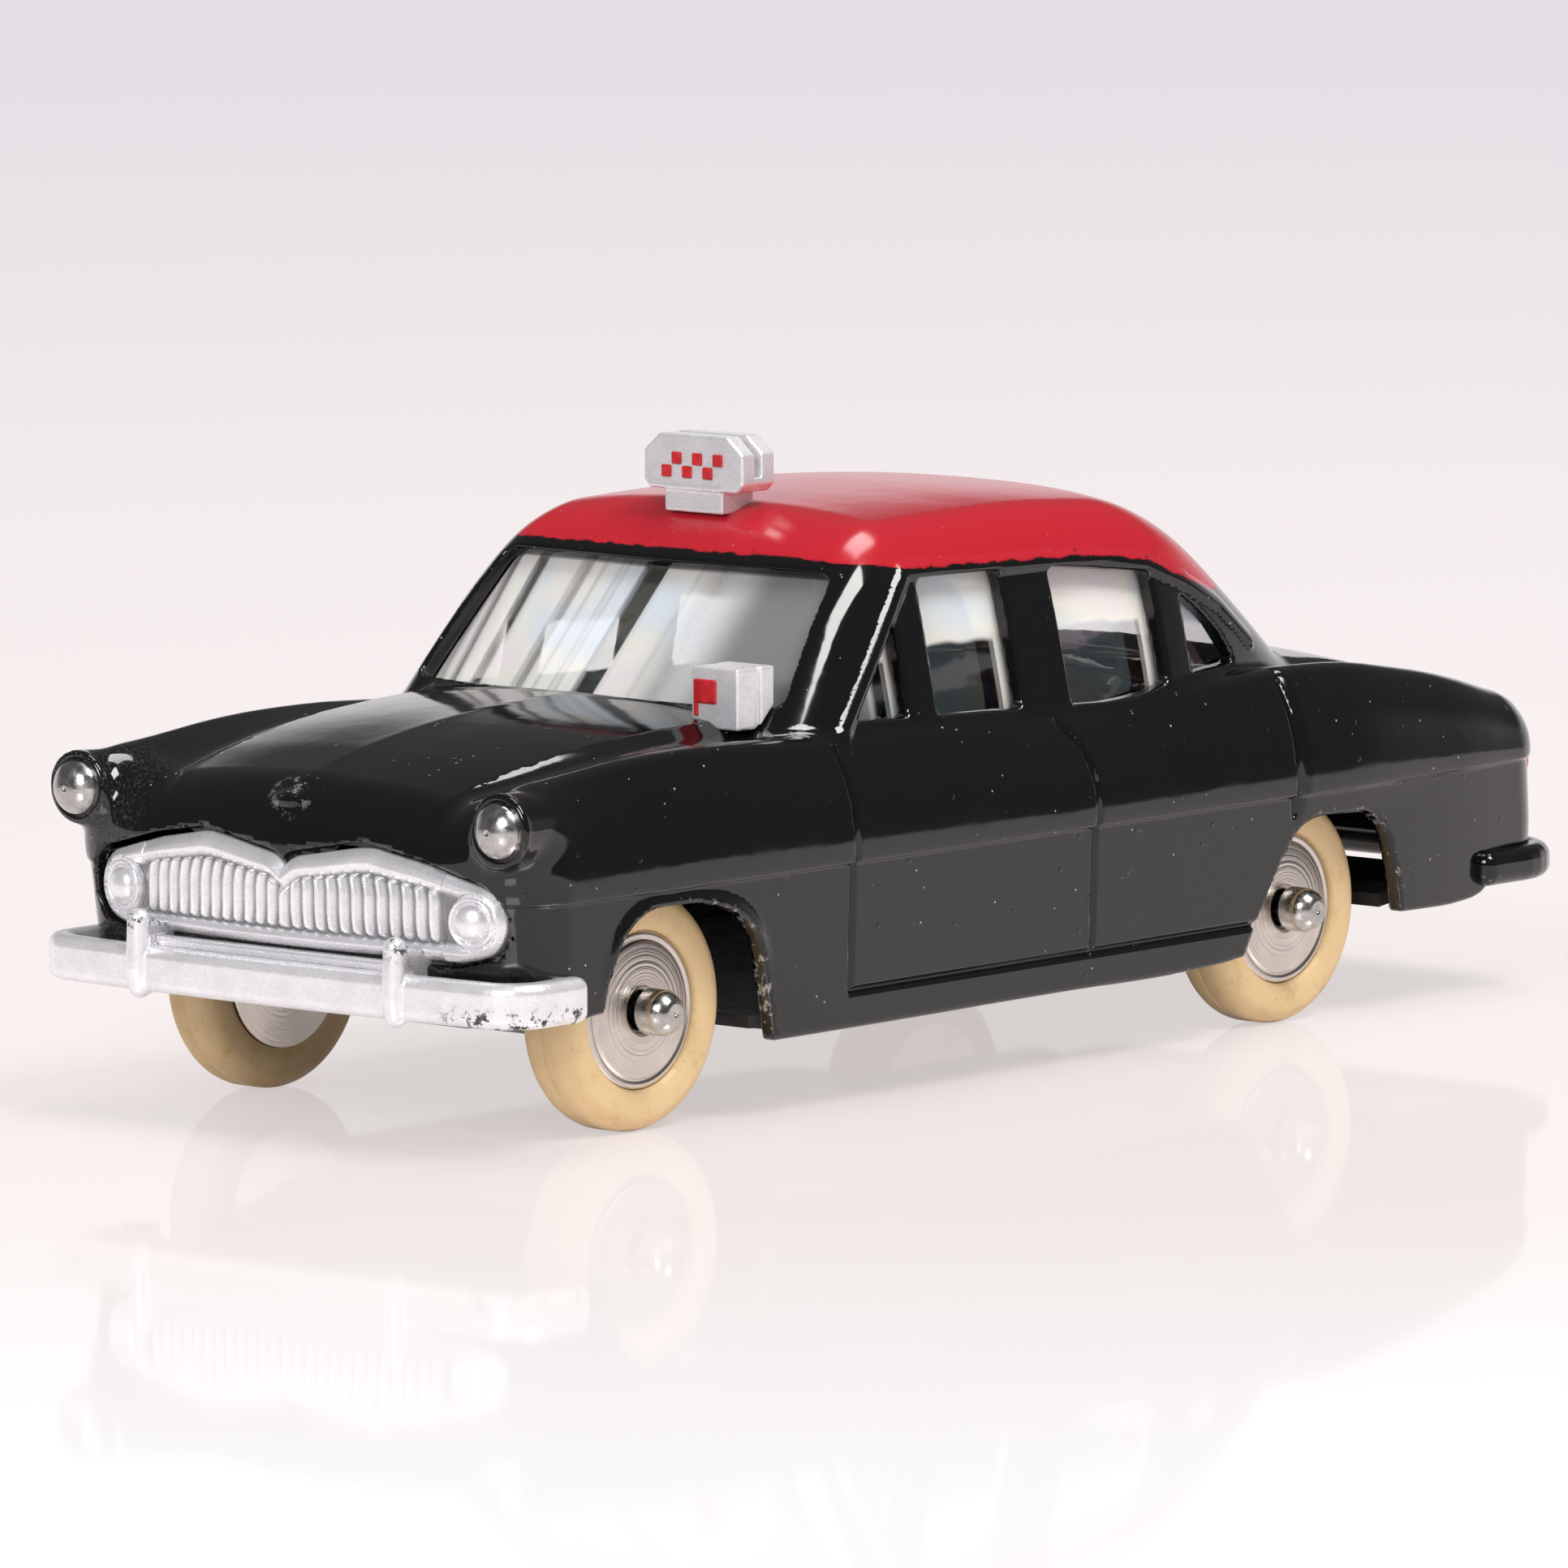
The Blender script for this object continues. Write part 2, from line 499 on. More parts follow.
def front_bumper_field(x, y, z):
    """Front bumper with its two overriders, the brackets behind it and the strip under the grille."""
    a = np.abs(x)
    field = bar(FRONT_BUMPER, BUMPER_Z, BUMPER_H, 0.7, x, y, z)
    top, middle, foot = [(OVERRIDER_X, *spot) for spot in ((-52.8, 12.4), (-52.86, BUMPER_Z), (-52.7, 8.3))]
    upright = np.minimum(capsule(top, middle, 0.72, 0.78, a, y, z),
                         capsule(middle, foot, 0.78, 0.72, a, y, z))
    web = convex([(-52.9, 9.4), (-49.5, 9.4), (-49.5, 12), (-52.3, 12.6), (-52.9, 12.3)], 0.2, y, z)
    upright = join(upright, meet(0.15, web, np.abs(a - OVERRIDER_X) - 0.36), 0.35)
    strap = block((BRACKET_X, -50.4, BUMPER_Z), (1.5, 2, 0.6), 0.2, a, y, z)
    strip = block((0, -51.2, 11.05), (10.2, 0.5, 0.3), 0.2, a, y, z)
    return np.minimum(join(join(field, upright, 0.3), strap, 0.3), strip)


def rear_bumper_field(x, y, z):
    """Rear bumper with its brackets."""
    field = bar(REAR_BUMPER, BUMPER_Z - 1, REAR_BUMPER_H, 0.88, x, -y, z)
    return join(field, block((BRACKET_X, 50.8, 8.8), (1.5, 2, 0.8), 0.2, np.abs(x), y, z), 0.3)


# Sign and meter

SIGN = (0, -11.6, 35.62)
METER = (12.95, -24.4, 23.47)
CHECK, CHECK_GAP, CHECK_Z, SIGN_HALF = 0.85, 0.08, 1.55, 1.55


def sign_field(x, y, z):
    """Roof sign: two plates, one behind the other, on a foot."""
    u, v, w = np.abs(x), y - SIGN[1], z - SIGN[2]
    plate = convex([(-4.1, 1.3), (-3.6, 0.8), (3.6, 0.8), (4.1, 1.3), (4.1, 3.2), (2.8, 4.3), (-2.8, 4.3),
                    (-4.1, 3.2)], 0.1, u, w)
    plate = meet(0.14, plate, np.abs(v) - SIGN_HALF)
    slot = meet(0.05, np.abs(v) - 0.33, 1.75 - w)
    plate = meet(0.12, plate, -slot)
    return join(plate, block((0, 0, 0.25), (2.4, 1.5, 0.85), 0.12, u, v, w), 0.15)


def chequer_field(x, y, z):
    """Raised squares on the front and the back of the sign."""
    u, v, w = x, np.abs(y - SIGN[1]), z - SIGN[2]
    half = (CHECK - CHECK_GAP) / 2
    corners = [((i - 3) * CHECK, CHECK_Z + CHECK * (i % 2)) for i in range(6)]
    return reduce(np.minimum, [block((cu + half, SIGN_HALF, cw + half), (half, 0.15, half), 0.08, u, v, w)
                               for cu, cw in corners])


def meter_field(x, y, z):
    """Fare meter: a box with a groove down each side and a chamfer at the screen's foot."""
    u, v, w = np.abs(x - METER[0]), y - METER[1], z - METER[2]
    side = convex([(-1.67, 0), (0.42, 0), (1.82, 1.4), (1.82, 3.8), (-1.67, 3.8)], 0.15, v, w)
    groove = np.maximum(np.abs(v - 0.35) - 0.22, 1.66 - u)
    return meet(0.08, meet(0.14, side, u - 1.88), -groove)


def flag_field(x, y, z):
    """Plain raised flag on the front of the meter."""
    u, v, w = x - METER[0], y - METER[1], z - METER[2]
    flag = block((-0.72, -1.7, 2.3), (0.9, 0.14, 0.75), 0.12, u, v, w)
    return np.minimum(flag, block((-1.45, -1.7, 1.25), (0.16, 0.12, 0.5), 0.08, u, v, w))


# Glazing

def glazing_rings(inset, count=128):
    """Rings of the clear moulding at a depth inside the cabin's surface, from its foot to the roof."""
    angle = np.linspace(0, 2 * math.pi, count, endpoint=False)
    reach = np.stack([CABIN_HALF * np.sign(np.cos(angle)) * np.sqrt(np.abs(np.cos(angle))),
                      CABIN_REACH * np.sign(np.sin(angle)) * np.sqrt(np.abs(np.sin(angle)))])
    starts = [(z, 1, 0) for z in np.linspace(GLASS_FOOT, EAVES_Z, 24)]
    starts += [(EAVES_Z, math.cos(t), math.sin(t)) for t in np.radians(np.linspace(6, 89, 14))]
    rings = []
    for z, out, up in starts:
        low, high = np.zeros(count), np.full(count, 2.0)
        for _ in range(40):
            t = (low + high) / 2
            p = (t * out * reach[0], CABIN_Y + t * out * reach[1], z + t * up * (ROOF_Z - EAVES_Z))
            outside = cabin_distance(*p) + inset > 0
            low, high = np.where(outside, low, t), np.where(outside, t, high)
        rings.append(np.stack(np.broadcast_arrays(*p), 1))
    return rings


def glazing():
    """One clear moulding behind all the windows, with an inner and an outer skin."""
    rings = np.array(glazing_rings(WALL + GLASS_GAP + GLASS)[::-1] + glazing_rings(WALL + GLASS_GAP))
    m, n = rings.shape[:2]
    i, j = np.meshgrid(np.arange(m - 1), np.arange(n), indexing="ij")
    k = (j + 1) % n
    faces = np.stack([i * n + j, i * n + k, (i + 1) * n + k, (i + 1) * n + j], -1).reshape(-1, 4)
    return mesh_object("clear_glazing", rings.reshape(-1, 3), faces)


# Wheels

WHEEL_X, TYRE_R, HUB_R, TYRE_W = 14.8, 7.5, 4.9, 3.8
SEAT_R, HUB_RIM_R, BORE_R, BOSS_R, HUB_BACK = 4.5, 4.88, 1.05, 2.4, -2.7


def arc(centre, r, start, stop, count):
    """Points of an arc in a profile."""
    return [(centre[0] + r * math.cos(t), centre[1] + r * math.sin(t))
            for t in np.radians(np.linspace(start, stop, count))]


def tyre_profile():
    """Closed section of a tyre, from the hub's seat round its bulged wall and tread."""
    half = TYRE_W / 2
    wall = [(half - 0.3, HUB_R + 0.02), (half - 0.1, HUB_R + 0.25), (half - 0.01, HUB_R + 0.9),
            (half - 0.02, HUB_R + 1.35)]
    shoulder = arc((half - 1.2, TYRE_R - 1.2), 1.2, 10, 84, 12)
    tread = [(0.25, TYRE_R), (0.12, TYRE_R - 0.02), (0.06, TYRE_R - 0.05)]
    right = wall + shoulder + tread
    seat = [(-half + 0.42, SEAT_R + 0.02), (half - 0.82, SEAT_R + 0.02), (half - 0.82, HUB_R + 0.02)]
    return right + [(-a, r) for a, r in right[::-1]] + [(-half + 0.42, HUB_R + 0.02)] + seat


def hub_profile():
    """Closed section of a turned hub: a domed face with fine turning grooves and a countersunk bore."""
    half = TYRE_W / 2
    steps = [(HUB_R, -0.5), (4.8, -0.36), (4.5, -0.3), (4.42, -0.4), (4.28, -0.4), (4.22, -0.27)]
    fine = [(r, -0.04 - 0.03 * (r - 1.5) ** 2 + 0.005 * (k % 2))
            for k, r in enumerate(np.linspace(4.16, 1.52, 27))]
    face = [(half + drop, r) for r, drop in steps + fine]
    bore = [(half - 0.45, BORE_R + 0.01), (half - 1.5, BORE_R), (HUB_BACK, BORE_R)]
    back = [(HUB_BACK, BOSS_R), (-half, BOSS_R), (-half, HUB_RIM_R), (-half + 0.4, HUB_RIM_R),
            (-half + 0.4, SEAT_R), (half - 0.8, SEAT_R), (half - 0.8, HUB_RIM_R)]
    return face + bore + back


def axle_profile():
    """Closed section of a wire axle with a rounded head at each end."""
    head = [(16.9, 1.0), (17.02, 1.36), (17.2, 1.44)] + arc((18.05, 0), 1.45, 78, 4, 12)
    head = [(min(a, 19.28), max(r, 0.02)) for a, r in head]
    return head[::-1] + [(-a, r) for a, r in head]


def wheel(side, end):
    """Hub and tyre of one wheel, which ride on that wheel's body."""
    name = f"{end}_{side}"
    y = FRONT_AXLE_Y if end == "front" else REAR_AXLE_Y
    sign = 1 if side == "left" else -1
    centre = (sign * WHEEL_X, y, AXLE_Z)
    for kind, profile, material, slot in (("tyre", tyre_profile(), tyre_rubber, "tyre_rubber"),
                                          ("hub", hub_profile(), turned_nickel, "hub_metal")):
        piece = turned(f"{kind}_looks_{name}", profile, centre, (sign, 0, 0))
        mark(piece, "radius", np.hypot(*(points_of(piece)[1:] - np.array(centre[1:])[:, None])))
        dress(piece, material, f"wheel_{name}", f"{kind}_{name}", slot)


# Finishes

def feed(tree, node, inputs):
    """Set or link the inputs of a shader node."""
    for key, value in inputs.items():
        if isinstance(value, bpy.types.NodeSocket):
            tree.links.new(value, node.inputs[key])
        else:
            node.inputs[key].default_value = value


def add(tree, kind, inputs=(), **props):
    """Shader node with its settings, and its inputs set or linked."""
    node = tree.nodes.new("ShaderNode" + kind)
    for key, value in props.items():
        setattr(node, key, value)
    feed(tree, node, dict(inputs))
    return node


def place(tree):
    """Place on the object."""
    return add(tree, "TexCoord").outputs["Object"]


def axes_of(tree):
    """The three coordinates of the place on the object, in millimetres."""
    scaled = add(tree, "VectorMath", {0: place(tree), 1: (1 / MM,) * 3}, operation="MULTIPLY").outputs[0]
    return add(tree, "SeparateXYZ", {0: scaled}).outputs


def noise(tree, size, detail=3.0, rough=0.5):
    """Smooth noise with features of about a size in millimetres."""
    return add(tree, "TexNoise", {"Vector": place(tree), "Scale": 1 / (size * MM), "Detail": detail,
                                  "Roughness": rough}).outputs[0]


def bands(tree, value, per_mm, detail):
    """Smooth noise that changes along one value only."""
    return add(tree, "TexNoise", {"W": value, "Scale": per_mm, "Detail": detail},
               noise_dimensions="1D").outputs[0]


def marked(tree, name):
    """Number that was kept at the points of a piece."""
    return add(tree, "Attribute", attribute_name=name).outputs["Fac"]


def specks(tree, pitch, radius):
    """Scattered round specks."""
    cell = add(tree, "TexVoronoi", {"Vector": place(tree), "Scale": 1 / (pitch * MM)}).outputs["Distance"]
    return span(tree, cell, radius, radius * 0.6)


def span(tree, value, start, stop, low=0.0, high=1.0):
    """Value carried smoothly from low at start to high at stop."""
    return add(tree, "MapRange", {"Value": value, "From Min": start, "From Max": stop, "To Min": low,
                                  "To Max": high}, interpolation_type="SMOOTHSTEP").outputs[0]


def maths(tree, operation, *values):
    """Arithmetic on numbers."""
    return add(tree, "Math", dict(enumerate(values)), operation=operation).outputs[0]


def colours(tree, factor, a, b):
    """Colour between two others."""
    return add(tree, "Mix", {0: factor, 6: a, 7: b}, data_type="RGBA").outputs[2]


def numbers(tree, factor, a, b):
    """Number between two others."""
    return add(tree, "Mix", {0: factor, 2: a, 3: b}).outputs[0]


def bump(tree, height, depth, strength=1.0, normal=None):
    """Relief of a depth in millimetres."""
    inputs = {"Height": height, "Distance": depth * MM, "Strength": strength}
    if normal is not None:
        inputs["Normal"] = normal
    return add(tree, "Bump", inputs).outputs[0]


def finish(name, recipe):
    """Material whose main shader takes the inputs that a recipe gives."""
    made = bpy.data.materials.new(name)
    made.use_nodes = True
    tree = made.node_tree
    feed(tree, tree.nodes["Principled BSDF"], recipe(tree))
    return made


BLACK = (0.0035, 0.0035, 0.004, 1)
RED = (0.4, 0.011, 0.02, 1)
SILVER = (0.62, 0.62, 0.63, 1)
BARE = (0.45, 0.43, 0.4, 1)
WORN, HOLLOW, FLAKE_TONE = (0.02, 0.02, 0.022, 1), (0.1, 0.1, 0.105, 1), (0.45, 0.45, 0.47, 1)
DUST = (0.5, 0.48, 0.46, 1)
SPOT = (0.16, 0.12, 0.07, 1)
CLEAR, SMOKE = (0.94, 0.95, 0.95, 1), (0.02, 0.02, 0.02, 1)
FILM_TINTS = {0.35: (0.95, 0.8, 0.84, 1), 0.5: (0.97, 0.93, 0.78, 1), 0.65: (0.74, 0.86, 0.95, 1)}

# Two tones between which an uneven surface changes
SILVER_TONES = (0.88, 0.87, 0.89, 1), (0.96, 0.95, 0.97, 1)
NICKEL_TONES = (0.72, 0.66, 0.61, 1), (0.82, 0.75, 0.69, 1)
CREAM_TONES = (0.7, 0.51, 0.27, 1), (0.58, 0.4, 0.18, 1)
ENAMEL_TONES = (0.42, 0.01, 0.015, 1), (0.58, 0.02, 0.025, 1)
PLATE_TONES = (0.012, 0.012, 0.013, 1), (0.25, 0.25, 0.26, 1)
STEEL_TONES = (0.5, 0.48, 0.46, 1), (0.66, 0.65, 0.63, 1)

# Size of a flake in the silver paint
FLAKE = 0.09

# Haze of the glazing: its strengths, its height on the side windows, where the windscreen gives way to
# them along y, and where the side windows end
SIDE_HAZE, SCREEN_HAZE, SMOKE_HAZE = 0.62, 0.5, 0.8
HAZE_LEVEL, SCREEN_END = (26.7, 27.1), (-15, -14)
WINDOW_ENDS = (-12.3, -1.5, 13)


def lacquer_recipe(tree):
    """Gloss black paint with a red roof, chipped edges, dust and a little silver overspray."""
    x, y, _ = axes_of(tree)
    edge, wear = marked(tree, "roof_edge"), marked(tree, "wear")
    ragged = maths(tree, "ADD", edge, span(tree, noise(tree, 1.6, 4, 0.6), 0.3, 0.7, -0.1, 0.1))
    red = span(tree, ragged, -0.08, 0.08)
    strip = maths(tree, "MULTIPLY", span(tree, maths(tree, "ABSOLUTE", edge), 0.9, 0.2),
                  span(tree, noise(tree, 0.7, 4, 0.7), 0.64, 0.69))
    chips = maths(tree, "MULTIPLY", wear, span(tree, noise(tree, 0.8, 5, 0.75), 0.56, 0.64))
    spray = maths(tree, "MULTIPLY", span(tree, x, -11, -14), span(tree, y, -45, -48))
    spray = maths(tree, "MULTIPLY", spray, span(tree, noise(tree, 0.2, 6, 0.8), 0.5, 0.75, 0, 0.16))
    dust = maths(tree, "MULTIPLY", specks(tree, 1.2, 0.07), span(tree, noise(tree, 6), 0.45, 0.62, 0, 0.8))
    colour = colours(tree, red, BLACK, RED)
    colour = colours(tree, strip, colour, BLACK)
    colour = colours(tree, spray, colour, SILVER)
    colour = colours(tree, dust, colour, DUST)
    colour = colours(tree, chips, colour, BARE)
    peel = bump(tree, noise(tree, 3, 2), 0.03)
    peel = bump(tree, specks(tree, 2.3, 0.09), 0.02, normal=peel)
    rough = numbers(tree, red, span(tree, noise(tree, 4), 0.3, 0.7, 0.06, 0.12), 0.18)
    return {"Base Color": colour, "Metallic": maths(tree, "MULTIPLY", chips, 0.8),
            "Roughness": numbers(tree, chips, rough, 0.45), "IOR": 1.5,
            "Coat Weight": numbers(tree, red, 0.3, 0.1), "Coat Roughness": numbers(tree, red, 0.05, 0.15),
            "Normal": peel}


def silver_recipe(tree):
    """Sprayed silver paint with fine flakes, worn through to black in places."""
    wear, hollow = marked(tree, "wear"), marked(tree, "hollow")
    flake = add(tree, "TexVoronoi", {"Vector": place(tree), "Scale": 1 / (FLAKE * MM)}).outputs["Color"]
    shade = add(tree, "SeparateColor", {0: flake}).outputs[0]
    chips = maths(tree, "MULTIPLY", wear, span(tree, noise(tree, 0.7, 5, 0.75), 0.52, 0.58))
    tone = span(tree, noise(tree, 1.5, 4), 0.3, 0.7)
    colour = colours(tree, tone, *SILVER_TONES)
    colour = colours(tree, hollow, colour, HOLLOW)
    colour = colours(tree, chips, colour, WORN)
    colour = colours(tree, maths(tree, "MULTIPLY", shade, 0.1), colour, FLAKE_TONE)
    relief = bump(tree, noise(tree, 0.9, 3), 0.02)
    return {"Base Color": colour, "Metallic": numbers(tree, chips, 0.6, 0.1),
            "Roughness": span(tree, shade, 0, 1, 0.27, 0.37), "Normal": relief}


def nickel_recipe(tree):
    """Turned and plated metal with fine rings."""
    grooves = bands(tree, marked(tree, "radius"), 5.0, 3.0)
    tone = span(tree, noise(tree, 2.5, 4), 0.35, 0.7)
    return {"Base Color": colours(tree, tone, *NICKEL_TONES), "Metallic": 1,
            "Roughness": span(tree, grooves, 0.3, 0.7, 0.2, 0.32), "Anisotropic": 0.75,
            "Tangent": add(tree, "Tangent", direction_type="RADIAL", axis="X").outputs[0],
            "Normal": bump(tree, grooves, 0.05, 0.6)}


def rubber_recipe(tree):
    """Cream tyres with scuffs, a little dirt and dull patches."""
    dirt = span(tree, noise(tree, 1.8, 6, 0.7), 0.5, 0.75)
    spots = specks(tree, 1.1, 0.06)
    colour = colours(tree, dirt, *CREAM_TONES)
    colour = colours(tree, maths(tree, "MULTIPLY", spots, 0.6), colour, SPOT)
    relief = bump(tree, noise(tree, 0.5, 4), 0.03, 0.6)
    return {"Base Color": colour, "Roughness": span(tree, noise(tree, 1.2), 0.3, 0.7, 0.42, 0.62),
            "Subsurface Weight": 0.15, "Subsurface Radius": (1, 0.7, 0.35), "Subsurface Scale": 0.6 * MM,
            "Normal": relief}


def clear_recipe(tree):
    """Clear moulded plastic with faint waves and a thin iridescent film.

    It is pale near the roof, in streaks on the windscreen and at the rear ends of the side windows,
    and dark at the windscreen's left end.
    """
    x, y, z = axes_of(tree)
    level = maths(tree, "ADD", z, span(tree, noise(tree, 9, 2), 0.3, 0.7, -0.6, 0.6))
    side = maths(tree, "MULTIPLY", span(tree, level, *HAZE_LEVEL), span(tree, y, *SCREEN_END, 0, SIDE_HAZE))
    streak = maths(tree, "MULTIPLY", span(tree, bands(tree, x, 0.4, 2.0), 0.4, 0.52), span(tree, x, 8, 1))
    ahead = span(tree, y, *SCREEN_END[::-1])
    screen = maths(tree, "MULTIPLY", streak, maths(tree, "MULTIPLY", ahead, SCREEN_HAZE))
    haze = maths(tree, "MAXIMUM", side, screen)
    for edge_y in WINDOW_ENDS:
        gap = maths(tree, "ABSOLUTE", maths(tree, "SUBTRACT", y, edge_y))
        haze = maths(tree, "MAXIMUM", haze, span(tree, gap, 0.6, 0.45, 0, SIDE_HAZE))
    smoke = maths(tree, "MULTIPLY", span(tree, x, 2, 9), ahead)
    haze = maths(tree, "MAXIMUM", haze, maths(tree, "MULTIPLY", smoke, SMOKE_HAZE))
    tint = add(tree, "ValToRGB", {0: noise(tree, 7, 2)}).outputs[0]
    stops = tint.node.color_ramp.elements
    stops.new(0.5)
    for stop, (position, colour) in zip(stops, FILM_TINTS.items()):
        stop.position, stop.color = position, colour
    tint = colours(tree, smoke, tint, SMOKE)
    return {"Base Color": colours(tree, haze, CLEAR, tint),
            "Roughness": span(tree, noise(tree, 1, 4), 0.5, 0.8, 0.01, 0.08),
            "Transmission Weight": maths(tree, "SUBTRACT", 1, haze), "IOR": 1.45,
            "Thin Film Thickness": span(tree, noise(tree, 9, 2), 0.3, 0.7, 300, 400), "Thin Film IOR": 1.33,
            "Normal": bump(tree, noise(tree, 5, 2), 0.02)}


def enamel_recipe(tree):
    """Red enamel with a slightly uneven coat."""
    tone = span(tree, noise(tree, 0.6, 4), 0.3, 0.7)
    return {"Base Color": colours(tree, tone, *ENAMEL_TONES),
            "Roughness": span(tree, noise(tree, 0.4), 0.3, 0.7, 0.2, 0.35),
            "Normal": bump(tree, noise(tree, 0.5), 0.02)}


def plate_recipe(tree):
    """Satin black on the pressed plate, rubbed bare in small scratches."""
    rubbed = span(tree, noise(tree, 1.2, 6, 0.75), 0.64, 0.7)
    colour = colours(tree, rubbed, *PLATE_TONES)
    return {"Base Color": colour, "Metallic": maths(tree, "MULTIPLY", rubbed, 0.7),
            "Roughness": span(tree, noise(tree, 2), 0.3, 0.7, 0.32, 0.5),
            "Normal": bump(tree, noise(tree, 0.4, 3), 0.02, 0.6)}


def steel_recipe(tree):
    """Plain steel wire with fine scratches."""
    tone = span(tree, noise(tree, 0.8, 5, 0.7), 0.35, 0.7)
    return {"Base Color": colours(tree, tone, *STEEL_TONES), "Metallic": 1,
            "Roughness": span(tree, noise(tree, 0.5, 4), 0.3, 0.7, 0.14, 0.34),
            "Normal": bump(tree, noise(tree, 0.3, 3), 0.012)}


lacquer = finish("body_lacquer", lacquer_recipe)
silver = finish("silver_paint", silver_recipe)
turned_nickel = finish("turned_nickel", nickel_recipe)
tyre_rubber = finish("cream_rubber", rubber_recipe)
clear_plastic = finish("clear_plastic", clear_recipe)
red_enamel = finish("red_enamel", enamel_recipe)
satin_black = finish("satin_black", plate_recipe)
wire_steel = finish("wire_steel", steel_recipe)


# Pieces of the car

# Body, CAD node and material slot of the pieces that stand for the casting
CASTING = "taxi_body", "body_casting", "body_paint"


def dress(piece, material, body, node, slot):
    """Give a piece its finish, its body, the CAD node it stands for and its material slot."""
    piece.data.materials.append(material)
    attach(piece, body)
    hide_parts(node)


def points_of(piece):
    """Points of a piece, in millimetres."""
    flat = np.empty(len(piece.data.vertices) * 3, np.float32)
    piece.data.vertices.foreach_get("co", flat)
    return flat.reshape(-1, 3).T / MM


def mark(piece, name, values):
    """Keep a number at every point of a piece."""
    layer = piece.data.attributes.new(name, "FLOAT", "POINT")
    layer.data.foreach_set("value", np.full(len(piece.data.vertices), values, np.float32))


# Lower edge of the red paint on the roof, in (y, z)
RED_EDGE = [(-30, 33), (-15.5, 33), (-10.6, 32.3), (-3.3, 32.1), (3.4, 31.9), (8.3, 31.7), (12.6, 31),
            (16.4, 29.5), (20.2, 28.4), (32, 28.8)]
NO_RED = -3


def body_shell():
    """Painted casting."""
    door_lines = [(-21.2, -20.2), (0.6, 3.3), (22.4, 23.5)]
    sill_and_crease = [(6.8, 7.6), (14.8, 15.6)]
    ys = graded(-53.2, 53.6, step=0.33, fine=0.13, spans=door_lines)
    zs = graded(4.3, 36.6, step=0.29, fine=0.13, spans=sill_and_crease)
    shell = symmetric("body_shell", body_field, step=0.3, ys=ys, zs=zs, width=20.9)
    x, y, z = points_of(shell)
    inside = cabin_distance(x, y, z) < -0.45
    mark(shell, "roof_edge", np.where(inside, NO_RED, z - np.interp(y, *np.array(RED_EDGE).T)))
    arch_wear = ease(1.2 - np.abs(openings(x, y, z)) / 0.5) * (z < 16)
    boss_wear = ease(1.5 - np.hypot(x / BOSS_W, y - BOSS_Y) / 0.9) * (z > 19)
    mark(shell, "wear", np.maximum(0.9 * arch_wear, boss_wear))
    dress(shell, lacquer, *CASTING)


def grille_and_bumpers():
    """Silver grille and front bumper, and the black rear bumper."""
    grille = symmetric("silver_grille", grille_field, step=0.1, ys=np.arange(-52.6, -47.2, 0.12),
                       zs=np.arange(10.8, 18.7, 0.12), width=17.2)
    bumper = symmetric("silver_bumper", front_bumper_field, step=0.2, ys=np.arange(-54.2, -45.6, 0.2),
                       zs=np.arange(7, 14, 0.2), width=20.8)
    x, _, z = points_of(bumper)
    corner_wear, overrider_wear = ease((x - 13.5) / 2) * ease((9.6 - z) / 0.8), ease((z - 11.2) / 1.2)
    mark(bumper, "wear", np.maximum(corner_wear, overrider_wear))
    mark(grille, "wear", 0)
    gx, gy, gz = points_of(grille)
    between_ribs = ease((bow_depth(gx, gy) - 0.26) / 0.28) * (grille_edge(gx, gz) < -0.7)
    mark(grille, "hollow", 0.85 * between_ribs)
    for piece in (grille, bumper):
        dress(piece, silver, *CASTING)
    rear = symmetric("rear_bumper_bar", rear_bumper_field, step=0.25, ys=np.arange(42, 54.4, 0.25),
                     zs=np.arange(6, 11.4, 0.25), width=20)
    mark(rear, "roof_edge", NO_RED)
    mark(rear, "wear", 0)
    dress(rear, lacquer, *CASTING)


def lamp(name, centre, radius, height, material, facing):
    """Domed lens set in its rim, facing forwards (-1) or backwards (1)."""
    dome = [(height * math.cos(t), radius * math.sin(t)) for t in np.linspace(0.02, 1.5, 14)]
    profile = [(0.0, radius + 0.12), (-0.5, radius + 0.12), (-0.5, 0.02)]
    piece = turned(name, dome + profile, centre, (0, facing, 0), 64)
    dress(piece, material, *CASTING)


def lamps():
    """Headlamps and tail lamps on both sides."""
    hx, hy, hz = HEADLAMP
    tx, ty, tz = TAIL_LAMP
    for side, sign in (("left", 1), ("right", -1)):
        lamp(f"headlamp_lens_{side}", (sign * hx, hy - 0.1, hz), radius=1.75, height=1.25,
             material=wire_steel, facing=-1)
        lamp(f"tail_lamp_lens_{side}", (sign * tx, ty, tz), radius=1.5, height=0.9,
             material=red_enamel, facing=1)


def rivet(name, y, plate_z, top):
    """Post inside the casting with its spread tip under the plate."""
    post, shank = 2.0, 0.98
    profile = [(top, 0.02), (top, post), (plate_z + 0.85, post), (plate_z + 0.82, shank), (plate_z, shank),
               (plate_z - 0.02, 1.6), (plate_z - 0.2, 1.7), (plate_z - 0.42, 1.45), (plate_z - 0.5, 1.0),
               (plate_z - 0.5, 0.02)]
    piece = turned(name, profile, (0, y, 0), (0, 0, 1), 48)
    mark(piece, "wear", 0)
    dress(piece, silver, *CASTING)


def wheels():
    """Four wheels and two axles."""
    for end, y in (("front", FRONT_AXLE_Y), ("rear", REAR_AXLE_Y)):
        for side in ("left", "right"):
            wheel(side, end)
        rod = turned(f"wire_axle_{end}", axle_profile(), (0, y, AXLE_Z), (1, 0, 0), 48)
        dress(rod, wire_steel, f"axle_{end}", f"{end}_axle", "axle_steel")


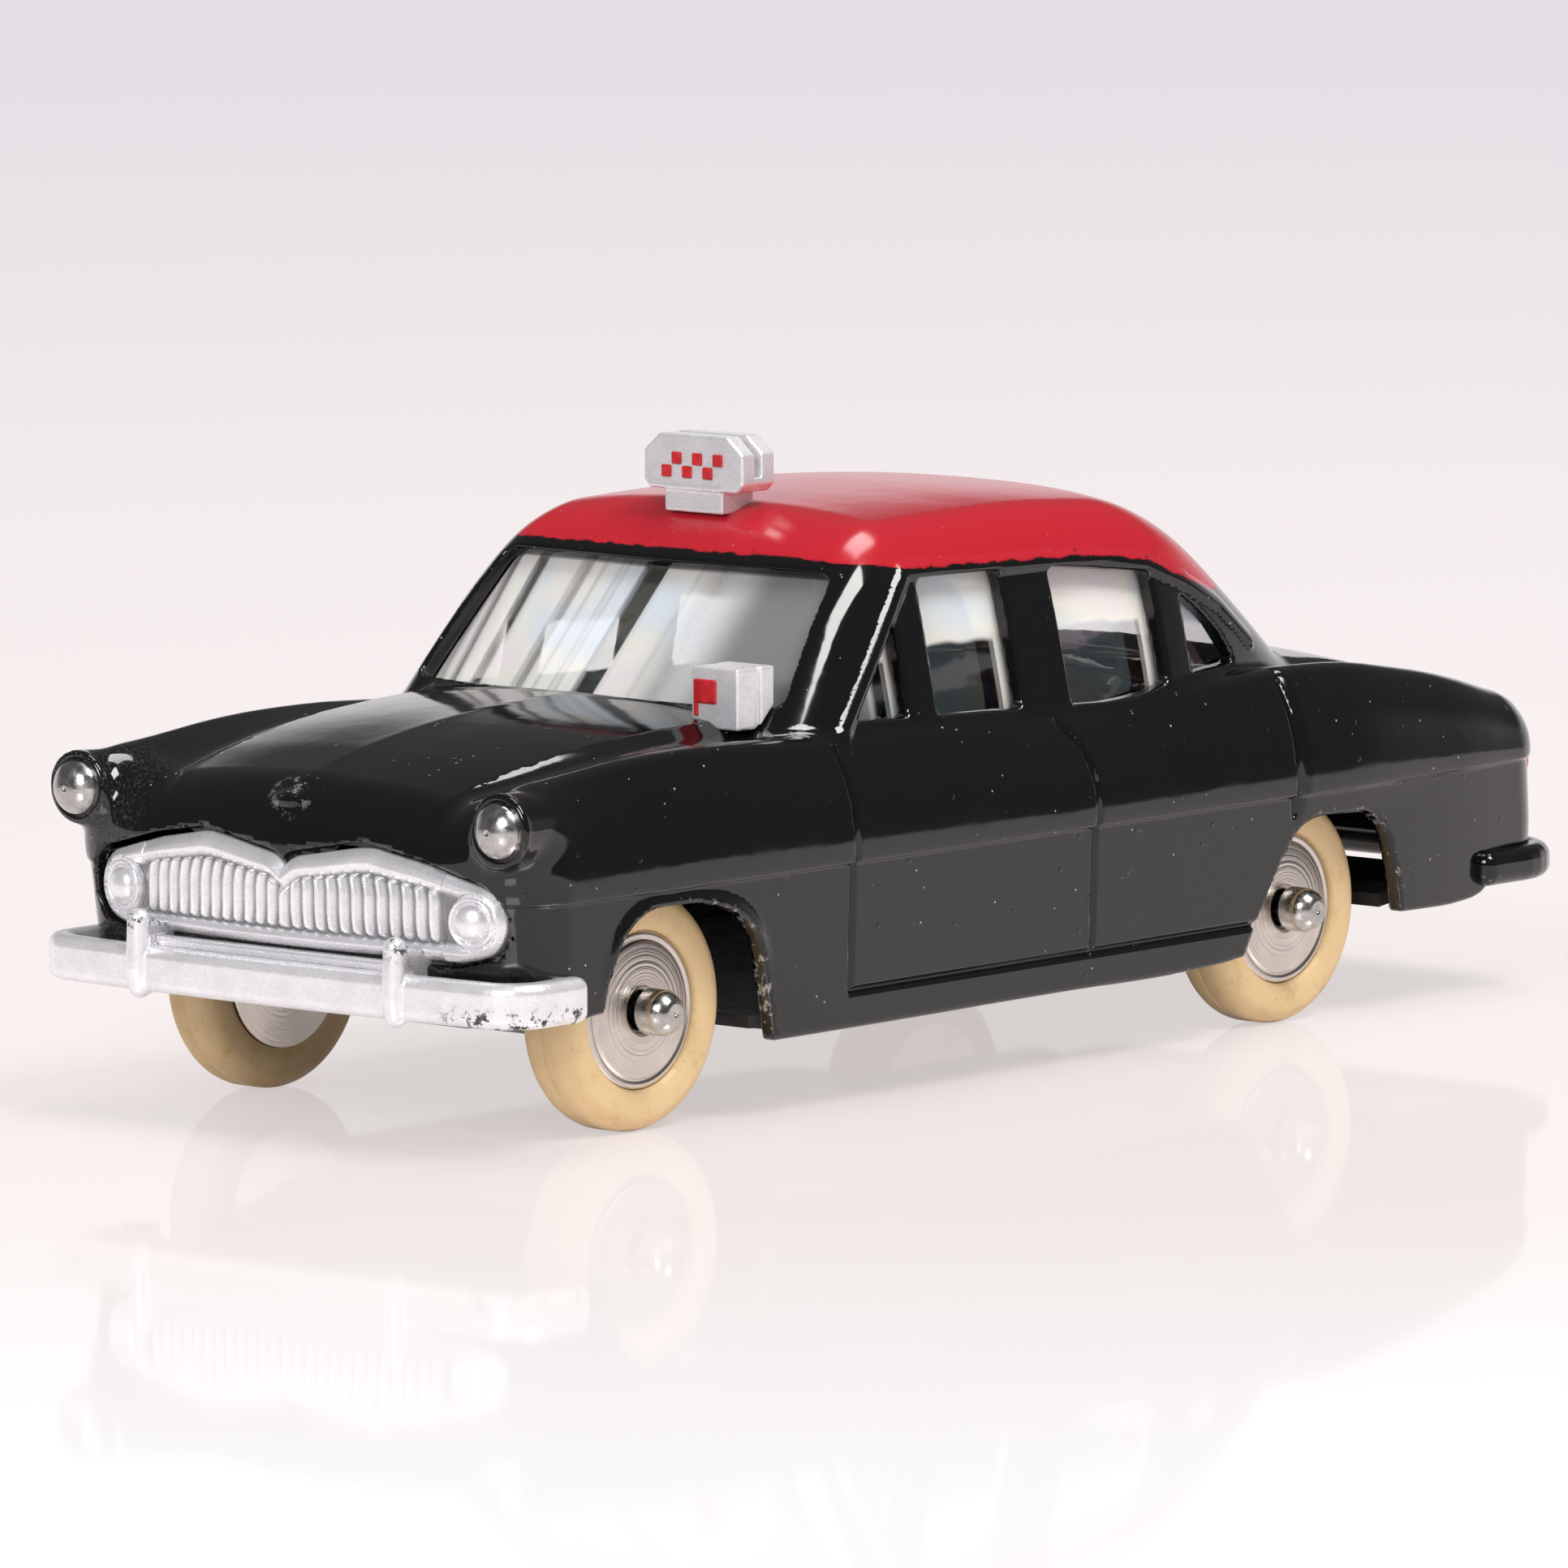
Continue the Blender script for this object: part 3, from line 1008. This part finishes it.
def roof_pieces():
    """Sign on the roof and meter on the wing, with their red marks."""
    body = single("sign_plates", sign_field, (-4.6, -13.6, 34.8), (4.6, -9.6, 40.3), step=0.12)
    chequer = single("sign_chequer", chequer_field, (-2.9, -13.6, 36.6), (2.9, -9.6, 39.4), step=0.09)
    box = single("meter_box", meter_field, (10.7, -26.4, 23.2), (15.2, -22.2, 27.6), step=0.1)
    flag = single("meter_flag", flag_field, (11, -26.6, 23.8), (13.5, -25.6, 27), step=0.07)
    for piece in (body, box):
        mark(piece, "wear", 0)
    dress(body, silver, "taxi_body", "roof_sign", "sign_paint")
    dress(chequer, red_enamel, "taxi_body", "roof_sign", "sign_paint")
    dress(box, silver, "taxi_body", "fare_meter", "meter_paint")
    dress(flag, red_enamel, "taxi_body", "fare_meter", "meter_paint")


body_shell()
grille_and_bumpers()
lamps()
rivet("front_post", y=-29.6, plate_z=5.4, top=22)
rivet("rear_post", y=41, plate_z=7.2, top=20)
wheels()
roof_pieces()
dress(glazing(), clear_plastic, "taxi_body", "window_glazing", "clear_plastic")
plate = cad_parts["baseplate"]
plate.data.materials.clear()
plate.data.materials.append(satin_black)


# Studio

# Shares of even glow and of gloss in the table's finish, and strengths of the surroundings
PALE_SHARE, GLOSS_SHARE = 0.75, 0.16
ROOM_LIGHT, SHEET_LIGHT, FILL_LIGHT, ROOM_TINT = 0.12, 0.85, 0.6, (0.97, 0.94, 0.97, 1)
SHEET_SPREAD, SHEET_TOP = (0.2, 0.8), (0.34, 0.12)
# Level directions away from the photo's camera and to its right
AWAY, RIGHT = (-0.652, 0.758, 0.0), (0.758, 0.652, 0.0)
AIM = (0, 0, 15)
TABLE_NEAR, TABLE_MIDDLE, TABLE_FAR = (0.99, 0.975, 0.98, 1), (0.9, 0.835, 0.825, 1), (0.86, 0.8, 0.855, 1)


def table_finish():
    """Pale glossy table, near white in front and a little lilac in the distance, with a soft shadow."""
    made = bpy.data.materials.new("pale_table")
    made.use_nodes = True
    tree = made.node_tree
    x, y, _ = axes_of(tree)
    away = maths(tree, "ADD", maths(tree, "MULTIPLY", y, AWAY[1]), maths(tree, "MULTIPLY", x, AWAY[0]))
    colour = colours(tree, span(tree, away, 100, 1000), TABLE_MIDDLE, TABLE_FAR)
    colour = colours(tree, span(tree, away, -50, -190), colour, TABLE_NEAR)
    path = add(tree, "LightPath").outputs
    seen = reduce(lambda a, b: maths(tree, "MAXIMUM", a, b),
                  [path[k] for k in ("Is Camera Ray", "Is Glossy Ray", "Is Transmission Ray")])
    matt = add(tree, "BsdfDiffuse", {"Color": colour}).outputs[0]
    pale = add(tree, "Emission", {"Color": colour, "Strength": 1.0}).outputs[0]
    share = maths(tree, "MULTIPLY", seen, PALE_SHARE)
    base = add(tree, "MixShader", {0: share, 1: matt, 2: pale}).outputs[0]
    shine = add(tree, "BsdfGlossy", {"Roughness": 0.05}).outputs[0]
    both = add(tree, "MixShader", {0: GLOSS_SHARE, 1: base, 2: shine}).outputs[0]
    tree.links.new(both, tree.nodes["Material Output"].inputs["Surface"])
    return made


def table():
    """Floor under the car."""
    away, right = np.array(AWAY), np.array(RIGHT)
    near, far, half = -1500, 4000, 230
    corners = np.array([near * away - half * right, near * away + half * right, far * away + half * right,
                        far * away - half * right])
    floor = mesh_object("table_top", corners, np.array([[0, 1, 2, 3]]))
    floor.data.materials.append(table_finish())


def softbox(name, place_mm, size, watts, colour):
    """Soft square lamp aimed at the car."""
    data = bpy.data.lights.new(name, "AREA")
    data.size, data.energy, data.color = size * MM, watts, colour
    made = bpy.data.objects.new(name, data)
    at = Vector(place_mm)
    made.location = at * MM
    made.rotation_euler = (Vector(AIM) - at).to_track_quat("-Z", "Y").to_euler()
    bpy.context.scene.collection.objects.link(made)


def room():
    """Pale background for the camera and through glass, and an even fill on matt surfaces.

    Reflections show a dark room with a pale sheet low down behind the car.
    """
    world = bpy.data.worlds.new("room")
    bpy.context.scene.world = world
    world.use_nodes = True
    tree = world.node_tree
    way = add(tree, "TexCoord").outputs["Generated"]
    behind = add(tree, "VectorMath", {0: way, 1: AWAY}, operation="DOT_PRODUCT").outputs["Value"]
    up = add(tree, "SeparateXYZ", {0: way}).outputs[2]
    sheet = maths(tree, "MULTIPLY", span(tree, behind, *SHEET_SPREAD), span(tree, up, *SHEET_TOP))
    light = numbers(tree, sheet, ROOM_LIGHT, SHEET_LIGHT)
    path = add(tree, "LightPath").outputs
    light = numbers(tree, path["Is Diffuse Ray"], light, FILL_LIGHT)
    back = tree.nodes["Background"]
    seen = maths(tree, "MAXIMUM", path["Is Camera Ray"], path["Is Transmission Ray"])
    tree.links.new(numbers(tree, seen, light, SHEET_LIGHT), back.inputs["Strength"])
    back.inputs["Color"].default_value = ROOM_TINT


CAMERA_AT, FOCAL, SENSOR = (566.05, -662.14, 122.26), 316.77, 36
YAW, PITCH, ROLL = 0.71067893, 0.12064354, -0.00301325


def camera():
    """Long-lens camera ahead of the car, on its left."""
    ahead = Vector((-math.sin(YAW) * math.cos(PITCH), math.cos(YAW) * math.cos(PITCH), -math.sin(PITCH)))
    right = Vector((math.cos(YAW), math.sin(YAW), 0))
    up = right.cross(ahead)
    across = math.cos(ROLL) * right + math.sin(ROLL) * up
    upward = -math.sin(ROLL) * right + math.cos(ROLL) * up
    data = bpy.data.cameras.new("camera")
    data.lens, data.sensor_width, data.clip_start, data.clip_end = FOCAL, SENSOR, 0.01, 20
    made = bpy.data.objects.new("camera", data)
    made.matrix_world = Matrix.Translation(Vector(CAMERA_AT) * MM) @ Matrix(
        (across, upward, -ahead)).transposed().to_4x4()
    bpy.context.scene.collection.objects.link(made)
    bpy.context.scene.camera = made


table()
softbox("key_lamp", (420, 60, 720), size=320, watts=4.5, colour=(1, 0.985, 0.96))
softbox("top_lamp", (-40, 300, 760), size=300, watts=1.8, colour=(1, 1, 1))
softbox("front_lamp", (250, -900, 520), size=380, watts=6, colour=(0.97, 0.98, 1))
room()
camera()
bpy.context.scene.view_settings.view_transform = "Standard"
